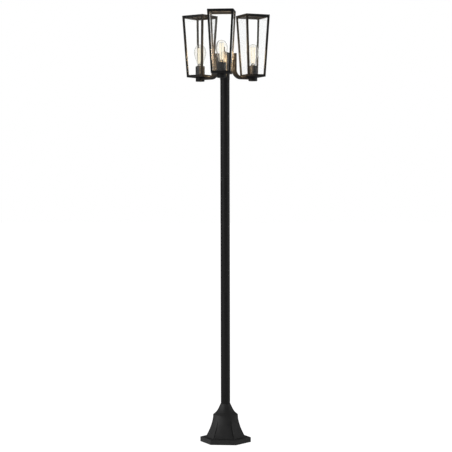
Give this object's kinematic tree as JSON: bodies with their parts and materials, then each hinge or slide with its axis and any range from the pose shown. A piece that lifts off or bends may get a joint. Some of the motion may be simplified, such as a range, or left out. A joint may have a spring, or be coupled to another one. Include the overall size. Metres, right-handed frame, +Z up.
{
  "type": "lamp post",
  "caption": "Tall outdoor post lamp: hexagonal bell base, round pole in sections and tapered glazed lanterns on curved arms, with screw-in bulbs and lift-off lids.",
  "frame": {"origin": "on the pole's axis, on the underside of the ground plate and the bell base", "axes": "+Z up the pole; -Y towards the first lantern; +X to the right seen from the front"},
  "size_m": [0.4766, 0.4127, 2.301],
  "materials": {
    "black_coat": "fine textured black powder coat",
    "dark_steel": "dark plated steel",
    "zinc": "zinc plated",
    "black_plastic": "matte",
    "terminal_ivory": "matte",
    "cap_brass": "satin",
    "clear_glass": "clear",
    "cable_rubber": "matte"
  },
  "bodies": {
    "post": {"base_casting": "black_coat", "ground_plate": "dark_steel", "cable_gland": "black_plastic", "base_screw_1": "dark_steel", "base_screw_2": "dark_steel", "neck_screw_1": "dark_steel", "neck_screw_2": "dark_steel", "lower_pole": "black_coat", "middle_pole": "black_coat", "upper_pole": "black_coat", "lower_coupling": "zinc", "upper_coupling": "zinc", "riser_cable": "cable_rubber", "head_lock_screw": "dark_steel"},
    "collar": {"pole_collar": "black_coat"},
    "head": {"arm_hub": "black_coat", "hub_cap": "black_coat", "terminal_block": "terminal_ivory", "arm_1": "black_coat", "arm_screw_1": "dark_steel", "arm_cup_1": "black_coat", "bottom_plate_1": "black_coat", "lantern_frame_1": "black_coat", "holder_cover_1": "black_coat", "lampholder_1": "black_plastic", "glass_outer_1": "clear_glass", "glass_right_1": "clear_glass", "glass_inner_1": "clear_glass", "glass_left_1": "clear_glass", "arm_2": "black_coat", "arm_screw_2": "dark_steel", "arm_cup_2": "black_coat", "bottom_plate_2": "black_coat", "lantern_frame_2": "black_coat", "holder_cover_2": "black_coat", "lampholder_2": "black_plastic", "glass_outer_2": "clear_glass", "glass_right_2": "clear_glass", "glass_inner_2": "clear_glass", "glass_left_2": "clear_glass", "arm_3": "black_coat", "arm_screw_3": "dark_steel", "arm_cup_3": "black_coat", "bottom_plate_3": "black_coat", "lantern_frame_3": "black_coat", "holder_cover_3": "black_coat", "lampholder_3": "black_plastic", "glass_outer_3": "clear_glass", "glass_right_3": "clear_glass", "glass_inner_3": "clear_glass", "glass_left_3": "clear_glass"},
    "lid_1": {"roof_lid_1": "black_coat"},
    "bulb_1": {"bulb_cap_1": "cap_brass", "bulb_glass_1": "clear_glass"},
    "lid_2": {"roof_lid_2": "black_coat"},
    "bulb_2": {"bulb_cap_2": "cap_brass", "bulb_glass_2": "clear_glass"},
    "lid_3": {"roof_lid_3": "black_coat"},
    "bulb_3": {"bulb_cap_3": "cap_brass", "bulb_glass_3": "clear_glass"}
  },
  "joints": [
    {"name": "collar_slide", "type": "slide", "parent": "post", "child": "collar", "axis": [0, 0, 1], "range_m": [0, 0.25]},
    {"name": "head_swivel", "type": "hinge", "parent": "post", "child": "head", "pos_m": [0, 0, 1.922], "axis": [0, 0, 1], "range_deg": [-170, 170]},
    {"name": "lid_lift_1", "type": "slide", "parent": "head", "child": "lid_1", "axis": [0, 0, 1], "range_m": [0, 0.06]},
    {"name": "lid_lift_2", "type": "slide", "parent": "head", "child": "lid_2", "axis": [0, 0, 1], "range_m": [0, 0.06]},
    {"name": "lid_lift_3", "type": "slide", "parent": "head", "child": "lid_3", "axis": [0, 0, 1], "range_m": [0, 0.06]},
    {"name": "bulb_turn_1", "type": "hinge", "parent": "head", "child": "bulb_1", "pos_m": [0, -0.166, 2.018], "axis": [0, 0, 1], "range_deg": [0, 1080]},
    {"name": "bulb_turn_2", "type": "hinge", "parent": "head", "child": "bulb_2", "pos_m": [0.14376, 0.083, 2.018], "axis": [0, 0, 1], "range_deg": [0, 1080]},
    {"name": "bulb_turn_3", "type": "hinge", "parent": "head", "child": "bulb_3", "pos_m": [-0.14376, 0.083, 2.018], "axis": [0, 0, 1], "range_deg": [0, 1080]}
  ]
}
